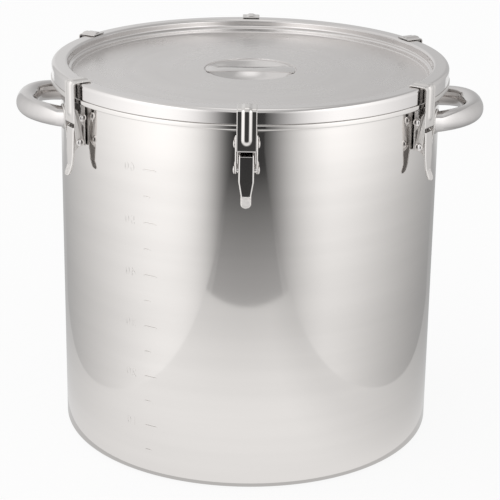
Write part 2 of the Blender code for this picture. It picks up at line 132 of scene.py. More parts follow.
STEP_ROUND = 0.0007
PANEL_START = CUP_RADIUS + 0.0012
PANEL_END = PANEL_RADIUS - 0.0030
BAR_THICKNESS = 0.0012
BAR_INSET = 0.0005
BAR_WAIST = 0.0200
BAR_WAIST_REACH = 0.62
BAR_FLARE = 0.0022
BAR_FLARE_REACH = 0.55
BAR_END = 0.0300

# Seal ring
SEAL_INNER = 0.2190
SEAL_OUTER = 0.2336
SEAL_FOOT = POT_HIGH.z + GAP
SEAL_TOP = LID_TOP - LID_SHEET - GAP
SEAL_INNER_CUT = 0.0012
SEAL_OUTER_CUT = 0.0036
SEAL_ROUND = 0.0010
SEAL_RIBS = 3
SEAL_RIB = 0.0008

# Handles
TUBE = 0.0122
TUBE_FLARE = 0.0009
TUBE_CLEAR = 0.0016  # the round tube starts this far off the wall, its flared end reaches it
TUBE_FOOT_CLEAR = 0.0001
TUBE_SIDES = 48
TUBE_RINGS = 120
HANDLE_ROOT = 0.1950
HANDLE_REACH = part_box("handle_right")[1].x - TUBE
HANDLE_HALF_SPAN = 0.0620
HANDLE_SQUARENESS = 2.6
HANDLE_HEIGHT = 0.3946
HANDLE_RISE = 0.0079
WELD = 0.0017
WELD_SIDES = 10
WELD_STEPS = 3
RIPPLE = 0.09
RIPPLE_STEPS = 4

# Latches; points are (out, up)
LATCHES = {
    "front": -0.7,
    "front_right": 57.0,
    "back_right": 120.0,
    "back": 180.0,
    "back_left": -120.0,
    "front_left": -57.0,
}
PIVOT = (0.2325, 0.4168)
HOOK_PIVOT = (0.2360, 0.3885)
SHEET = 0.0015
BRACKET_BACK = 0.2267
BRACKET_FOOT = 0.3830
BRACKET_TOP = 0.4310
BRACKET_HALF = 0.0101
BRACKET_BEND = 0.0024
EAR_LUG = 0.0042
EAR_LOW = (0.2299, 0.4060)
EAR_TOP = 0.2322
EAR_ROUND = 0.0020
LEVER_HALF = 0.0084
LEVER_LUG = 0.0038
LEVER_FACE = 0.2422
LEVER_FACE_LOW = 0.2440  # at the tab's top
LEVER_TOP = 0.4050
LEVER_TIP = 0.3487
CHEEK = [(0.2314, 0.4050), (0.2314, 0.3875), (0.2350, 0.3825), (0.2405, 0.3775)]
CHEEK_CREST = 0.0045
CHEEK_INSET = 0.0004
CHEEK_SINK = 0.0002
CHEEK_ROUND = 0.0020
WAIST_TOP = 0.3765
TAB_TOP = 0.3612
TAB_HALF = 0.0058
TAB_BEND = 0.0046  # how far the tip stands out
TAB_CORNER = 0.0046
TAB_EASE = 0.0012  # length of the bend
KNURL = 0.0011
STRAP_FACE = 0.2424
STRAP_SHEET = 0.0016
STRAP_HALF = 0.0109
STRAP_FOOT = 0.4100
STRAP_BEND = 0.0042
CLAW_TOP = 0.4580
CLAW_END = 0.2190
ARM_EYE = 0.0045
ARM_TOP = 0.4290
ARM_FRONT = [
    (STRAP_FACE, LEVER_TOP),
    (STRAP_FACE + 0.0002, 0.4200),
    (STRAP_FACE, ARM_TOP),
    (STRAP_FACE - 0.0010, ARM_TOP - 0.0004),
]
ARM_BACK = [(0.2380, 0.4255), (0.2362, 0.4200)]
ARM_ROUND = 0.0016
ARM_SINK = 0.0001
RIB_HEIGHT = 0.0014
RIB_HALF = 0.0062
RIB_FLAT = 0.0019
RIB_FOOT = 0.4163
RIB_FADE = 0.0018
RIB_MARGIN = 0.0006
PIN = 0.0020
PIN_FILLET = 0.0002
PIN_HEAD = 0.0044
PIN_EDGE = 0.0003
PIN_DOME = 0.0020
PIN_DOME_RIM = 0.25

# Finishes
NOISE_MIDDLE = (0.35, 0.65)
BRIGHT = (0.745, 0.720, 0.700)
WARM_GREY = (0.735, 0.712, 0.700)
TUBE_GREY = (0.65, 0.63, 0.62)
WELD_GREY = (0.66, 0.64, 0.62)
SILICONE = (0.78, 0.78, 0.75)
STREAK_DARK = 0.985
STREAK_LIGHT = 1.015
SMUDGE_SCALE = 14.0
SMUDGE_DETAIL = 5.0
SMUDGE_CLEAN = 0.85
SMUDGE_DULL = 1.12
GRAIN_GLOSS = 0.06
TURNED_LINES = 3.0  # cells for each metre round the axis
TURNED_BANDS = 2.0
BAND_SHARE = 0.08
BRUSHED_LINES = (1.0, 1.0, 0.04)  # shares of the grain's scale along X, Y and Z
BRUSHED_BANDS = (0.1, 0.1, 0.02)
POLISH = 0.30
POLISH_EDGE = 0.0010
CUP_POLISH = 0.65
# the colour's factor for the painted shade on the latch faces that face the pot
INNER_SHADE = 0.40
SIDE_DULLNESS = 0.42
SIDE_SHARPNESS = 6.0
TIP_DULLNESS = 0.35
KNURL_DEPTH = 0.00006

# Studio: a glow peaks at a middle along Y and falls to a base on each side of it
Fall = namedtuple("Fall", "base width power")
Glow = namedtuple("Glow", "peak middle front back")
LEFT_GLOW = Glow(1.18, -0.42, Fall(0.05, 0.59, 2), Fall(0.48, 0.38, 2))
RIGHT_GLOW = Glow(1.06, -0.44, Fall(0.06, 0.58, 1.5), Fall(0.42, 0.35, 2))
FLOOR_GLOW = Glow(1.02, -0.35, Fall(0.5, 0.53, 2), Fall(0.5, 0.42, 2))
SIDE_Y = (-1.6, 0.35)
SIDE_HEIGHT = 0.75
SIDE_LEVEL = 0.18  # the height where a side card has its stated glow
LIFT_FOOT = 0.26
LIFT_TOP = 0.34
STUDIO_HALF = 1.2
FLOOR_Y = (-0.80, 2.0)
FAR_GAIN = 0.5
FAR_START = 0.9
FAR_RUN = 0.6
DIM_SHARE = 0.15
DIM_START = 0.12
DIM_RUN = 0.22
LANE_Y = (-3.0, -0.80)
LANE_HALF = 0.27
LANE_NEAR = 0.48
LANE_SLOPE = 0.62
LANE_LEAST = 0.05
LANE_SIDES = 1.15
SHADE_RADII = (0.19, 0.225, 0.238)  # a dim ring under the pot's edge
SHADE_HEIGHT = 0.0002
SHADE_GLOW = 0.62
SHADE_TURNS = 97
FRONT_HALF = 0.62
FRONT_Y = -1.9
FRONT_HEIGHT = 0.8
FRONT_GLOW = 0.04
OVERHEAD_HALF = 0.8
OVERHEAD_Y = -0.1
OVERHEAD_HEIGHT = 2.2
OVERHEAD_EDGE = 0.72
OVERHEAD_GAIN = 0.45
OVERHEAD_FADE = 0.8
SKY_LEFT = 0.84
SKY_RIGHT = 0.55
SKY_BLEND = 0.35
BACKDROP_SIDES = 96
BACKDROP_FLAT = 6.0
BACKDROP_CURVE = 3.0
BACKDROP_TOP = 8.0
BACKDROP_DROP = 0.0004
BACKDROP_GREY = 0.16
BACKDROP_GLOW = 0.87
CAMERA_PLACE = (0, -2.0332, 0.9385)
CAMERA_PITCH = 19.64
CAMERA_ROLL = 0.83
CAMERA_YAW = 0.074
CAMERA_LENS = 125.5


# ---------------------------------------------------------------- lines and numbers


def smooth(share):
    """A share held to 0..1, eased at both ends."""
    share = min(max(share, 0.0), 1.0)
    return share * share * (3 - 2 * share)


def signed_power(value, power):
    return math.copysign(abs(value) ** power, value)


def round_angles(sides):
    return np.linspace(0, 2 * math.pi, sides, endpoint=False)


def directions(points):
    """Unit directions along a line of points."""
    along = np.gradient(points, axis=0)
    return along / np.linalg.norm(along, axis=1)[:, None]


def distances(points):
    """Each point's distance along its line."""
    return np.concatenate([[0], np.cumsum(np.linalg.norm(np.diff(points, axis=0), axis=1))])


def arc(centre, radius, start, end, steps):
    """Points on an arc, both ends included; angles in degrees."""
    angles = np.radians(np.linspace(start, end, steps + 1))
    return [(centre[0] + radius * math.cos(a), centre[1] + radius * math.sin(a)) for a in angles]


def rounded(corners, radius, steps=6):
    """An open line of corners with each inner corner replaced by a curve of about that radius."""
    result = [tuple(corners[0])]
    for before, corner, after in zip(corners, corners[1:], corners[2:]):
        here = Vector(corner)
        back = Vector(before) - here
        ahead = Vector(after) - here
        reach = min(radius, back.length * CORNER_SHARE, ahead.length * CORNER_SHARE)
        start = here + back.normalized() * reach
        end = here + ahead.normalized() * reach
        for step in range(steps + 1):
            t = step / steps
            result.append(tuple(start * (1 - t) ** 2 + here * 2 * t * (1 - t) + end * t * t))
    return result + [tuple(corners[-1])]


def fine(line):
    """The line with its long stretches split, closely spaced beside each bend."""
    result = [tuple(line[0])]
    for start, end in zip(line, line[1:]):
        start, end = Vector(start), Vector(end)
        length = (end - start).length
        if length < SAME_POINT:
            continue
        if length > 4 * EDGE_STEP:
            inner = np.linspace(EDGE_STEP, length - EDGE_STEP, 2 + int(length / LONGEST_STEP))
            result += [tuple(start.lerp(end, s / length)) for s in inner]
        result.append(tuple(end))
    return result


def sheet_outline(line, thickness):
    """A closed outline round a sheet whose upper face is the line; its last end is round."""
    points = np.array(line)
    along = directions(points)
    normal = np.stack([along[:, 1], -along[:, 0]], axis=1)
    under = points + normal * thickness
    middle = (points[-1] + under[-1]) / 2
    half = thickness / 2
    turn = np.radians(np.linspace(0, 180, 9))[1:-1]
    end = [middle - normal[-1] * half * math.cos(a) + along[-1] * half * math.sin(a) for a in turn]
    under[0][0] = points[0][0]
    return [tuple(p) for p in points] + [tuple(p) for p in end] + [tuple(p) for p in under[::-1]]


# ---------------------------------------------------------------- shells: (points, faces)


def grid_faces(rows, columns, first=0, round_rows=False, round_columns=False):
    """Quads over a grid of points that starts at an index; a round side meets its start."""
    faces = []
    for i in range(rows if round_rows else rows - 1):
        here = first + i * columns
        there = first + (i + 1) % rows * columns
        for j in range(columns if round_columns else columns - 1):
            k = (j + 1) % columns
            faces.append((here + j, here + k, there + k, there + j))
    return faces


def lathe(outline, closed):
    """A turned shell. An open outline starts and ends on the axis."""
    ring = [(math.cos(a), math.sin(a)) for a in round_angles(TURNS)]
    body = outline if closed else outline[1:-1]
    points = [(r * x, r * y, z) for r, z in body for x, y in ring]
    faces = grid_faces(len(body), TURNS, round_rows=closed, round_columns=True)
    if not closed:
        last = len(points) - TURNS
        points += [(0, 0, outline[0][1]), (0, 0, outline[-1][1])]
        for j in range(TURNS):
            k = (j + 1) % TURNS
            faces.append((len(points) - 2, k, j))
            faces.append((len(points) - 1, last + j, last + k))
    return points, faces


def sheet(surface, thickness):
    """A sheet with round edges: a grid of points on its outer face, thickened behind it."""
    surface = np.asarray(surface, float)
    rows, columns, _ = surface.shape
    normal = np.cross(np.gradient(surface, axis=1), np.gradient(surface, axis=0))
    normal /= np.linalg.norm(normal, axis=2)[:, :, None]
    back = surface - normal * thickness
    points = [tuple(p) for p in surface.reshape(-1, 3)] + [tuple(p) for p in back.reshape(-1, 3)]
    offset = rows * columns
    faces = grid_faces(rows, columns) + grid_faces(rows, columns, first=offset)
    rim = [(0, j) for j in range(columns)] + [(i, columns - 1) for i in range(1, rows)]
    rim += [(rows - 1, j) for j in range(columns - 2, -1, -1)] + [(i, 0) for i in range(rows - 2, 0, -1)]
    chains = []
    for i, j in rim:
        outward = np.zeros(3)
        if i in (0, rows - 1):
            outward += surface[i, j] - surface[1 if i == 0 else rows - 2, j]
        if j in (0, columns - 1):
            outward += surface[i, j] - surface[i, 1 if j == 0 else columns - 2]
        outward -= normal[i, j] * outward.dot(normal[i, j])
        outward /= np.linalg.norm(outward)
        middle = (surface[i, j] + back[i, j]) / 2
        chain = [i * columns + j]
        for angle in np.radians((45, 90, 135)):
            spot = middle + (normal[i, j] * math.cos(angle) + outward * math.sin(angle)) * thickness / 2
            chain.append(len(points))
            points.append(tuple(spot))
        chains.append(chain + [offset + i * columns + j])
    for here, there in zip(chains, chains[1:] + chains[:1]):
        for k in range(4):
            faces.append((here[k], here[k + 1], there[k + 1], there[k]))
    return points, faces


def plate(outline, middle, thickness):
    """A flat plate with round edges across a latch: its (out, up) outline, at across = middle."""
    flat = np.array(outline)
    after = np.roll(flat, -1, axis=0) - flat
    before = flat - np.roll(flat, 1, axis=0)
    along = after / np.linalg.norm(after, axis=1)[:, None]
    along += before / np.linalg.norm(before, axis=1)[:, None]
    along /= np.linalg.norm(along, axis=1)[:, None]
    x, y = flat[:, 0], flat[:, 1]
    area = np.sum(x * np.roll(y, -1) - np.roll(x, -1) * y)
    inward = np.stack([-along[:, 1], along[:, 0]], axis=1) * math.copysign(1, area)
    points = []
    count = len(flat)
    levels = np.radians(np.linspace(0, 180, 5))
    for angle in levels:
        inset = flat + inward * thickness / 2 * (1 - math.sin(angle))
        across = middle + thickness / 2 * math.cos(angle)
        points += [(across, -out, up) for out, up in inset]
    faces = grid_faces(len(levels), count, round_columns=True)
    faces.append(tuple(range(count)))
    faces.append(tuple(range(len(points) - 1, len(points) - count - 1, -1)))
    return points, faces


def turned_pin(outline, centre, sides=32):
    """A pin along a latch's across axis from a (radius, across) outline, ends on its axis."""
    out, up = centre
    rows = len(outline) - 2
    points = [(outline[0][1], -out, up)]
    for radius, across in outline[1:-1]:
        points += [(across, radius * math.cos(a) - out, radius * math.sin(a) + up)
                   for a in round_angles(sides)]
    points.append((outline[-1][1], -out, up))
    faces = grid_faces(rows, sides, first=1, round_columns=True)
    last = 1 + (rows - 1) * sides
    for j in range(sides):
        k = (j + 1) % sides
        faces.append((0, 1 + j, 1 + k))
        faces.append((len(points) - 1, last + k, last + j))
    return points, faces


def mesh_of(name, *shells, sharp=40):
    """One smooth mesh from closed shells, with the faces of each pointing out."""
    mesh = bpy.data.meshes.new(name)
    points, faces = [], []
    for shell_points, shell_faces in shells:
        faces += [tuple(i + len(points) for i in face) for face in shell_faces]
        points += shell_points
    mesh.from_pydata(points, [], faces)
    clean = bmesh.new()
    clean.from_mesh(mesh)
    bmesh.ops.recalc_face_normals(clean, faces=clean.faces)
    clean.to_mesh(mesh)
    clean.free()
    mesh.shade_smooth()
    mesh.set_sharp_from_angle(angle=math.radians(sharp))
    return mesh


def add(name, mesh, material, body, node=None, turn=0.0):
    """A piece that rides on a body, and the CAD node that it stands for."""
    piece = bpy.data.objects.new(name, mesh)
    bpy.context.scene.collection.objects.link(piece)
    if not mesh.materials:
        mesh.materials.append(material)
    piece.rotation_euler.z = math.radians(turn)
    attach(piece, body)
    if node:
        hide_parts(node)
    return piece


# ---------------------------------------------------------------- materials


def math_node(tree, operation, first, second=None):
    node = tree.nodes.new("ShaderNodeMath")
    node.operation = operation
    for socket, value in zip(node.inputs, (first, second)):
        if isinstance(value, (int, float)):
            socket.default_value = value
        elif value is not None:
            tree.links.new(value, socket)
    return node.outputs[0]


def split_xyz(tree, vector):
    node = tree.nodes.new("ShaderNodeSeparateXYZ")
    tree.links.new(vector, node.inputs[0])
    return node.outputs


def axis_distance(tree, x, y):
    square = math_node(tree, "ADD", math_node(tree, "MULTIPLY", x, x), math_node(tree, "MULTIPLY", y, y))
    return math_node(tree, "SQRT", square)


def ramp(tree, value, source, target, interpolation="LINEAR"):
    """The value's source range spread over the target range, held at both ends."""
    node = tree.nodes.new("ShaderNodeMapRange")
    node.interpolation_type = interpolation
    for name, limit in zip(("From Min", "From Max", "To Min", "To Max"), source + target):
        node.inputs[name].default_value = limit
    tree.links.new(value, node.inputs["Value"])
    return node.outputs["Result"]


def noise(tree, vector, scale, detail=2.0):
    node = tree.nodes.new("ShaderNodeTexNoise")
    node.inputs["Scale"].default_value = scale
    node.inputs["Detail"].default_value = detail
    tree.links.new(vector, node.inputs["Vector"])
    return node.outputs["Fac"]


def spread(tree, value, low, high):
    """The middle values of a noise spread over low to high."""
    return ramp(tree, value, NOISE_MIDDLE, (low, high))


def turned_vector(tree, place, along, across):
    """Coordinates that change slowly round the axis and quickly along the profile."""
    x, y, z = split_xyz(tree, place)
    profile = math_node(tree, "SUBTRACT", axis_distance(tree, x, y), z)
    join = tree.nodes.new("ShaderNodeCombineXYZ")
    for socket, value, scale in zip(join.inputs, (x, y, profile), (along, along, across)):
        tree.links.new(math_node(tree, "MULTIPLY", value, scale), socket)
    return join.outputs[0]


def brushed_vector(tree, place, grain, shares):
    """Coordinates that change quickly across straight brushing and slowly along it."""
    node = tree.nodes.new("ShaderNodeMapping")
    node.inputs["Scale"].default_value = [grain * share for share in shares]
    tree.links.new(place, node.inputs["Vector"])
    return node.outputs[0]


def bump(tree, height, distance, below=None):
    node = tree.nodes.new("ShaderNodeBump")
    node.inputs["Strength"].default_value = 1.0
    node.inputs["Distance"].default_value = distance
    tree.links.new(height, node.inputs["Height"])
    if below:
        tree.links.new(below, node.inputs["Normal"])
    return node.outputs["Normal"]


def polished_parts(tree, place, gloss):
    """The lid's cup, inner wall, crest and skirt are polished, its panel is satin."""
    x, y, _ = split_xyz(tree, place)
    radius = axis_distance(tree, x, y)
    for satin, polished, factor in (
        (PANEL_RADIUS - POLISH_EDGE, LEDGE_RADIUS, POLISH),
        (CUP_RADIUS, CUP_STEP, CUP_POLISH),
    ):
        share = ramp(tree, radius, (satin, polished), (1.0, factor))
        gloss = math_node(tree, "MULTIPLY", gloss, share)
    return gloss


def satin_sides(tree, facing, gloss):
    """A latch's sheared sides are duller than its faces."""
    side = math_node(tree, "POWER", math_node(tree, "ABSOLUTE", facing[0]), SIDE_SHARPNESS)
    return math_node(tree, "ADD", gloss, math_node(tree, "MULTIPLY", side, SIDE_DULLNESS))


def dark_inside(tree, facing, colour):
    """Painted shade: the side of a latch's sheet that faces the pot is given a darker colour."""
    shade = tree.nodes.new("ShaderNodeMix")
    shade.data_type = "RGBA"
    shade.blend_type = "MULTIPLY"
    shade.inputs["B"].default_value = (INNER_SHADE, INNER_SHADE, INNER_SHADE, 1)
    tree.links.new(math_node(tree, "GREATER_THAN", facing[1], 0.5), shade.inputs["Factor"])
    tree.links.new(colour, shade.inputs["A"])
    return shade.outputs["Result"]


def knurled(tree, place, gloss, normal):
    """The lever's finger tip is dull and knurled."""
    x, _, z = split_xyz(tree, place)
    tip = math_node(tree, "LESS_THAN", z, TAB_TOP - TAB_EASE / 2)
    lines = []
    for lean in (1.0, -1.0):
        slanted = math_node(tree, "ADD", math_node(tree, "MULTIPLY", x, lean), z)
        lines.append(math_node(tree, "SINE", math_node(tree, "MULTIPLY", slanted, 2 * math.pi / KNURL)))
    weave = math_node(tree, "MULTIPLY", math_node(tree, "MULTIPLY", lines[0], lines[1]), tip)
    dull = math_node(tree, "ADD", gloss, math_node(tree, "MULTIPLY", tip, TIP_DULLNESS))
    return dull, bump(tree, weave, KNURL_DEPTH, normal)


def streaked(tree, streaks, colour):
    """The colour, a little darker or lighter in streaks."""
    tint = tree.nodes.new("ShaderNodeMix")
    tint.data_type = "RGBA"
    tint.inputs["A"].default_value = (*(STREAK_DARK * c for c in colour), 1)
    tint.inputs["B"].default_value = (*(STREAK_LIGHT * c for c in colour), 1)
    tree.links.new(spread(tree, streaks, 0.0, 1.0), tint.inputs["Factor"])
    return tint.outputs["Result"]


def finish(name, colour, roughness, grain, depth, metal=1.0, turned=True, region=""):
    """Steel or silicone: a grain, faint streaks of colour, and smudges in the gloss."""
    material = bpy.data.materials.new(name)
    material.use_nodes = True
    tree = material.node_tree
    surface = tree.nodes["Principled BSDF"]
    surface.inputs["Metallic"].default_value = metal
    texture_place = tree.nodes.new("ShaderNodeTexCoord")
    place = texture_place.outputs["Object"]
    if turned:
        lines = turned_vector(tree, place, TURNED_LINES, grain)
        bands = turned_vector(tree, place, TURNED_BANDS, grain * BAND_SHARE)
    else:
        lines = brushed_vector(tree, place, grain, BRUSHED_LINES)
        bands = brushed_vector(tree, place, grain, BRUSHED_BANDS)
    fine_lines = noise(tree, lines, 1.0)
    smudges = noise(tree, place, SMUDGE_SCALE, SMUDGE_DETAIL)
    shown = streaked(tree, noise(tree, bands, 1.0), colour)
    gloss = math_node(tree, "ADD", spread(tree, smudges, roughness * SMUDGE_CLEAN, roughness * SMUDGE_DULL),
                      spread(tree, fine_lines, -GRAIN_GLOSS * roughness, GRAIN_GLOSS * roughness))
    normal = bump(tree, fine_lines, depth)
    if region == "lid":
        gloss = polished_parts(tree, place, gloss)
    if region == "latch":
        facing = split_xyz(tree, texture_place.outputs["Normal"])
        # painted shade: the latch sheets' faces towards the pot are darkened in colour
        shown = dark_inside(tree, facing, shown)
        gloss, normal = knurled(tree, place, satin_sides(tree, facing, gloss), normal)
    tree.links.new(shown, surface.inputs["Base Color"])
    tree.links.new(gloss, surface.inputs["Roughness"])
    tree.links.new(normal, surface.inputs["Normal"])
    return material


def make_materials():
    """The numbers are roughness, the grain's scale per metre and its depth in metres."""
    return {
        "wall": finish("polished_wall", BRIGHT, 0.060, 500, 2e-7),
        "lid": finish("satin_lid", WARM_GREY, 0.300, 700, 4e-7, region="lid"),
        "bar": finish("satin_bar", WARM_GREY, 0.200, 900, 1e-6, turned=False),
        "tube": finish("brushed_tube", TUBE_GREY, 0.100, 900, 1e-6, turned=False),
        # the latch finish carries painted shade on the faces towards the pot
        "latch": finish("pressed_latch_painted_shade", BRIGHT, 0.110, 500, 8e-7, turned=False, region="latch"),
        "rivet": finish("rivet_steel", WARM_GREY, 0.160, 900, 4e-6, turned=False),
        "weld": finish("weld_bead", WELD_GREY, 0.240, 600, 4e-5, turned=False),
        "silicone": finish("seal_silicone", SILICONE, 0.550, 500, 3e-5, metal=0.0, turned=False),
    }


# ---------------------------------------------------------------- pot


def rim_curl():
    """The rolled rim: a squarish curl from its top over its outer side and its foot."""
    power = 2.0 / ROLL_SQUARENESS
    return [(ROLL_CENTRE[0] + ROLL_RADIUS * signed_power(math.cos(a), power),
             ROLL_CENTRE[1] + ROLL_RADIUS * signed_power(math.sin(a), power))
            for a in np.radians(np.linspace(90, -180, 40))]


def pot_outline():
    """From the axis over the inside, round the rolled rim and down the outside."""
    inner = WALL_RADIUS - WALL
    corner = (WALL_RADIUS - BASE_CORNER, BASE_CORNER)
    lift = [(0, BASE_LIFT), (BASE_LIFT_RADIUS, BASE_LIFT), (BASE_LIFT_RADIUS + BASE_LIFT_RUN, 0)]
    floor = [(r, z + WALL) for r, z in lift]
    mouth = rounded([(inner, WALL_GUIDE), (inner, ROLL_FOOT),
                     (inner + MOUTH_FLARE[0], ROLL_CENTRE[1] + MOUTH_FLARE[1]),
                     (ROLL_CENTRE[0], POT_HIGH.z)], MOUTH_ROUND)[1:-1]
    roll = rim_curl()
    neck = rounded([roll[-1], (WALL_RADIUS + NECK[0], ROLL_CENTRE[1] - NECK[1]),
                    (WALL_RADIUS, ROLL_FOOT - NECK_DROP), (WALL_RADIUS, WALL_GUIDE)], NECK_ROUND)[1:-1]
    inside = floor + arc(corner, BASE_CORNER - WALL, -90, 0, 12) + mouth
    outside = roll + neck + arc(corner, BASE_CORNER, 0, -90, 14) + lift[::-1]
    return fine(inside + outside)


def on_wall(azimuth, along, radius, height):
    """A point near the wall; along runs to the left as seen from outside, so text is mirrored."""
    angle = math.radians(azimuth) - along / WALL_RADIUS
    return (radius * math.sin(angle), -radius * math.cos(angle), height)


def number_shell(text, azimuth, height):
    """A raised number, mirrored because it is pressed from the inside."""
    curve = bpy.data.curves.new("number", "FONT")
    curve.body = text
    curve.size = NUMBER_HEIGHT / NUMBER_SHARE
    curve.space_character = NUMBER_SPACING
    curve.align_x = "CENTER"
    curve.align_y = "CENTER"
    curve.extrude = RELIEF - NUMBER_BEVEL
    curve.bevel_depth = NUMBER_BEVEL
    curve.bevel_resolution = 1
    curve.resolution_u = 5
    holder = bpy.data.objects.new("number", curve)
    bpy.context.scene.collection.objects.link(holder)
    bpy.context.view_layer.update()
    mesh = bpy.data.meshes.new_from_object(holder.evaluated_get(bpy.context.evaluated_depsgraph_get()))
    bpy.data.objects.remove(holder, do_unlink=True)
    weld = bmesh.new()
    weld.from_mesh(mesh)
    bmesh.ops.remove_doubles(weld, verts=weld.verts, dist=NUMBER_MERGE)
    weld.to_mesh(mesh)
    weld.free()
    points = [on_wall(azimuth, x, WALL_RADIUS + z, height + y) for x, y, z in (v.co for v in mesh.vertices)]
    return points, [tuple(f.vertices) for f in mesh.polygons]


def tick_shell(height, length):
    """A raised dash on the wall whose ends run out."""
    azimuth = TICK_START + math.degrees(length / 2 / WALL_RADIUS)
    surface = []
    for up in np.linspace(-TICK_HALF_HEIGHT, TICK_HALF_HEIGHT, 4):
        line = []
        for along in np.linspace(-length / 2, length / 2, 24):
            share = smooth((length / 2 - abs(along)) / TICK_RUNOUT)
            radius = WALL_RADIUS - TICK_SINK + (RELIEF + TICK_SINK) * share
            line.append(on_wall(azimuth, along, radius, height + up))
        surface.append(line)
    return sheet(surface, TICK_SHEET)


def make_pot(finishes):
    add("pot_shell", mesh_of("pot_shell", lathe(pot_outline(), closed=False)), finishes["wall"],
        "pot", "pot_body")
    marks = []
    for litres in range(TICK_EVERY, LITRES + 1, TICK_EVERY):
        height = SCALE_FOOT + LITRE * litres
        numbered = litres % NUMBER_EVERY == 0
        marks.append(tick_shell(height, LONG_TICK if numbered else SHORT_TICK))
        if numbered:
            marks.append(number_shell(str(litres), NUMBER_AZIMUTH, height))
    add("litre_scale", mesh_of("litre_scale", *marks), finishes["wall"], "pot")


# ---------------------------------------------------------------- lid


def panel_height(radius):
    """The dished panel rises from its edge to its middle as a flat parabola."""
    return PANEL_CENTRE + (PANEL_EDGE - PANEL_CENTRE) * (radius / PANEL_RADIUS) ** 2


def lid_line():
    """The lid's upper face, from the middle of the cup out to the skirt's foot."""
    edge = panel_height(CUP_RADIUS)
    seat = edge - BAR_THICKNESS - GAP
    bowl = [(r, CUP_FLOOR + (seat - CUP_FLOOR) * (r / CUP_STEP) ** CUP_FULLNESS)
            for r in np.linspace(0, CUP_END, 40)]
    panel = [(r, panel_height(r)) for r in np.linspace(PANEL_START, PANEL_END, 40)]
    step = rounded([bowl[-1], (CUP_STEP + 2 * STEP_LEAN, seat), (CUP_RADIUS - STEP_LEAN, seat),
                    (CUP_RADIUS, edge), panel[0]], STEP_ROUND)[1:-1]
    crest = arc((CREST_INNER + CREST_ROUND, LID_TOP - CREST_ROUND), CREST_ROUND, 180, 90, 14)
    root = rounded([panel[-1]] + LEDGE + [crest[0]], LEDGE_ROUND)[1:-1]
    shoulder = arc((SKIRT_RADIUS - SHOULDER, LID_TOP - SHOULDER), SHOULDER, 90, 0, 18)
    foot = [(SKIRT_RADIUS, SKIRT_FOOT - GAP / 2 + LID_SHEET / 2)]
    return fine(bowl + step + panel + root + crest + shoulder + foot)


def seal_outline():
    """A rounded ring section with shallow ribs under it, on the rolled rim."""
    top = rounded([(SEAL_INNER, SEAL_FOOT), (SEAL_INNER, SEAL_TOP - SEAL_INNER_CUT),
                   (SEAL_INNER + SEAL_INNER_CUT, SEAL_TOP), (SEAL_OUTER - SEAL_OUTER_CUT, SEAL_TOP),
                   (SEAL_OUTER, SEAL_TOP - SEAL_OUTER_CUT), (SEAL_OUTER, SEAL_FOOT)], SEAL_ROUND)
    ribs = []
    for share in np.linspace(1, 0, 50)[1:-1]:
        wave = 0.5 - 0.5 * math.cos(2 * math.pi * SEAL_RIBS * share)
        ribs.append((SEAL_INNER + (SEAL_OUTER - SEAL_INNER) * share, SEAL_FOOT + SEAL_RIB * wave))
    return top + ribs


def bar_shell():
    """The grip bar: round ends that fill the cup's mouth, and a narrower waist."""
    radius = CUP_RADIUS - GAP - BAR_INSET
    half_angle = math.degrees(math.asin(BAR_END / 2 / radius))
    end = arc((0, 0), radius - BAR_THICKNESS / 2, -half_angle, half_angle, 10)
    waist = [(x, BAR_WAIST / 2 + BAR_FLARE * (x / (radius * BAR_FLARE_REACH)) ** 2)
             for x in np.linspace(radius * BAR_WAIST_REACH, 0, 8)]
    half = end + waist + [(-x, y) for x, y in waist[-2::-1]]
    outline = half + [(-x, -y) for x, y in half]
    outline = [here for before, here in zip([None] + outline, outline) if here != before]
    points, faces = plate(outline, panel_height(CUP_RADIUS) - BAR_THICKNESS / 2, BAR_THICKNESS)
    return [(-y, z, x) for x, y, z in points], faces


def make_lid(finishes):
    outline = sheet_outline(lid_line(), LID_SHEET)
    add("lid_skin", mesh_of("lid_skin", lathe(outline, closed=False)), finishes["lid"],
        "lid", "lid_shell")
    add("seal_lips", mesh_of("seal_lips", lathe(seal_outline(), closed=True)), finishes["silicone"],
        "lid", "lid_seal_ring")
    add("grip_bar", mesh_of("grip_bar", bar_shell()), finishes["bar"], "lid", "lid_grip_bar")


# ---------------------------------------------------------------- handles


def handle_point(turn):
    """The tube's middle line: a half superellipse that tips up a little."""
    out = signed_power(math.cos(turn), 2 / HANDLE_SQUARENESS)
    across = signed_power(math.sin(turn), 2 / HANDLE_SQUARENESS)
    return Vector((HANDLE_ROOT + (HANDLE_REACH - HANDLE_ROOT) * out,
                   HANDLE_HALF_SPAN * across, HANDLE_HEIGHT + HANDLE_RISE * out))


def handle_route():
    """Evenly spaced points along the tube's middle line, where it is clear of the wall."""
    clear = WALL_RADIUS + TUBE_CLEAR
    line = [handle_point(t) for t in np.linspace(-math.pi / 2, math.pi / 2, 1201)[1:-1]]
    line = np.array([p for p in line if math.sqrt(max(clear ** 2 - (abs(p.y) - TUBE) ** 2, 0)) < p.x])
    reach = distances(line)
    spots = np.linspace(0, reach[-1], TUBE_RINGS)
    return np.stack([np.interp(spots, reach, line[:, k]) for k in range(3)], axis=1)


def flared_foot(ring):
    """A tube's end ring, a little wider and laid on the wall."""
    middle = np.mean(ring, axis=0)
    foot = []
    for spot in ring:
        _, y, z = middle + (spot - middle) * (1 + TUBE_FLARE / TUBE)
        foot.append(np.array((math.sqrt((WALL_RADIUS + TUBE_FOOT_CLEAR) ** 2 - y ** 2), y, z)))
    return foot


